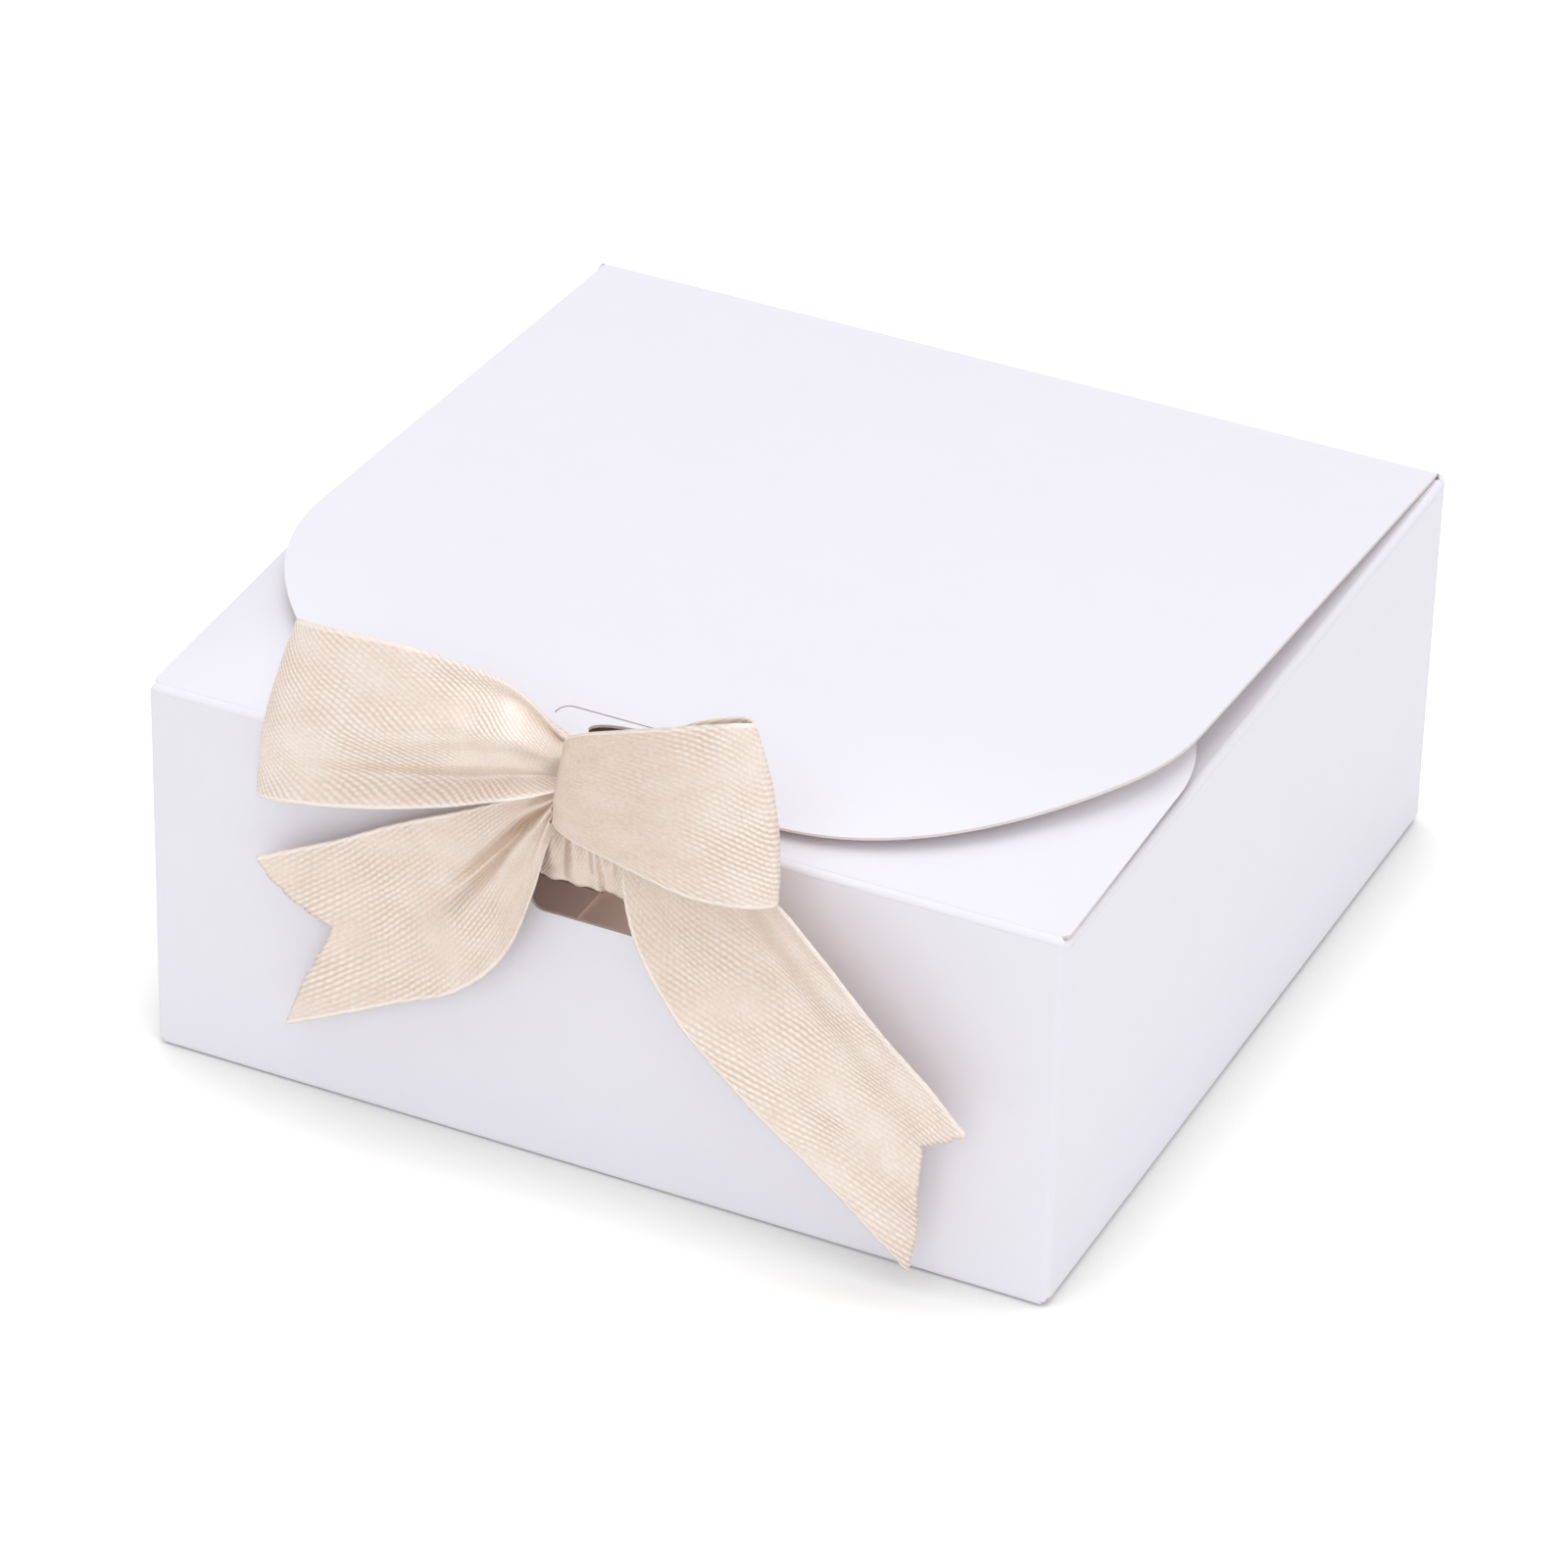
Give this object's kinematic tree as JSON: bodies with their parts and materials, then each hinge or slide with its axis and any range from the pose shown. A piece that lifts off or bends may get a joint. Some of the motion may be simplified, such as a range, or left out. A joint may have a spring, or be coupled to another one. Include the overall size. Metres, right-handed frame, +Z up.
{
  "type": "cake box",
  "caption": "Small square folding-carton cake box with a broad round-fronted lid flap, tuck-under top flaps, a snap-lock bottom and a satin ribbon bow over the front edge.",
  "frame": {"origin": "middle of the carton's base, on the surface that it stands on", "axes": "+Z up, +X to the right, -Y towards the front wall with the bow"},
  "size_m": [0.12, 0.1295, 0.0745],
  "materials": {
    "card": "smooth matt coated white carton board",
    "ribbon": "single-face satin, cream champagne"
  },
  "bodies": {
    "carton": {"front_wall": "card", "right_wall": "card", "back_wall": "card", "left_wall": "card", "glue_seam": "card", "bottom_front_flap": "card", "bottom_back_flap": "card", "bottom_right_flap": "card", "bottom_left_flap": "card", "ribbon_lower_strand": "ribbon"},
    "lid": {"lid": "card", "bow_knot": "ribbon", "bow_left_loop": "ribbon", "bow_right_loop": "ribbon", "left_tail": "ribbon", "right_tail": "ribbon", "ribbon_upper_strand": "ribbon"},
    "front_flap": {"front_flap": "card"},
    "right_dust_flap": {"right_dust_flap": "card"},
    "left_dust_flap": {"left_dust_flap": "card"}
  },
  "joints": [
    {"name": "lid_hinge", "type": "hinge", "parent": "carton", "child": "lid", "pos_m": [0, 0.06, 0.052], "axis": [-1, 0, 0], "range_deg": [0, 180]},
    {"name": "front_flap_hinge", "type": "hinge", "parent": "carton", "child": "front_flap", "pos_m": [0, -0.06, 0.052], "axis": [1, 0, 0], "range_deg": [0, 108]},
    {"name": "right_dust_flap_hinge", "type": "hinge", "parent": "carton", "child": "right_dust_flap", "pos_m": [0.06, 0, 0.05135], "axis": [0, 1, 0], "range_deg": [0, 99]},
    {"name": "left_dust_flap_hinge", "type": "hinge", "parent": "carton", "child": "left_dust_flap", "pos_m": [-0.06, 0, 0.05135], "axis": [0, -1, 0], "range_deg": [0, 99]}
  ],
  "couplings": [
    {"joint": "front_flap_hinge", "follows": "lid_hinge", "ratio": 0.6},
    {"joint": "right_dust_flap_hinge", "follows": "lid_hinge", "ratio": 0.55},
    {"joint": "left_dust_flap_hinge", "follows": "lid_hinge", "ratio": 0.55}
  ]
}
